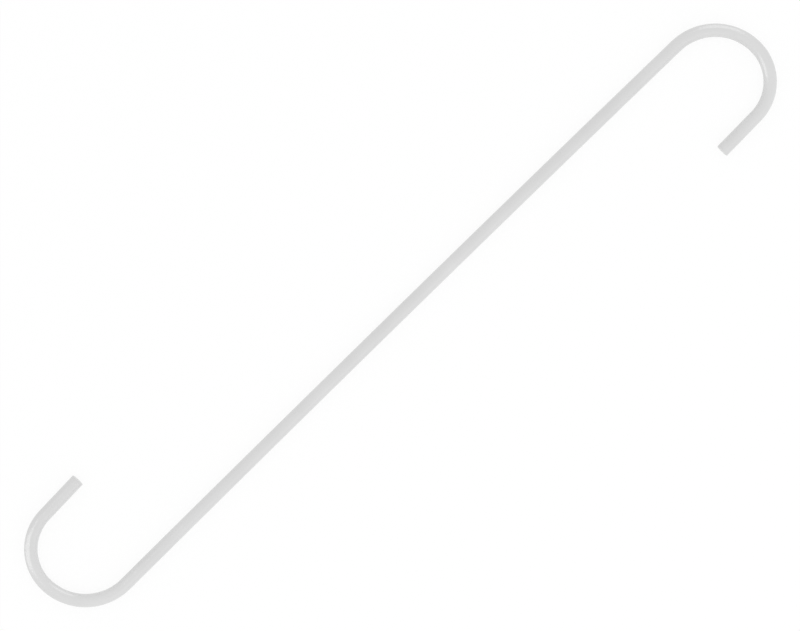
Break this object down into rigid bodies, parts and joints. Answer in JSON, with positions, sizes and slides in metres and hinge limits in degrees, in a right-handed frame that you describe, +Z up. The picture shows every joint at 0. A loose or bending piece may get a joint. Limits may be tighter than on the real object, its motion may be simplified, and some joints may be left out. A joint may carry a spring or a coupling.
{
  "type": "s hook",
  "caption": "Long S-shaped hanging hook bent from round wire with a white coating; a straight shank joins opposed open hooks with short, slightly flared lips.",
  "frame": {"origin": "on the surface that the hook lies on, below the middle of the shank", "axes": "+X along the shank, +Y square to it in the plane of the hooks, +Z up out of that plane; the hook at the +X end turns towards -Y and the one at the -X end towards +Y"},
  "size_m": [0.3, 0.0766, 0.0045],
  "materials": {
    "powder_coat": "satin"
  },
  "bodies": {
    "root": {"s_hook": "powder_coat"}
  },
  "joints": []
}
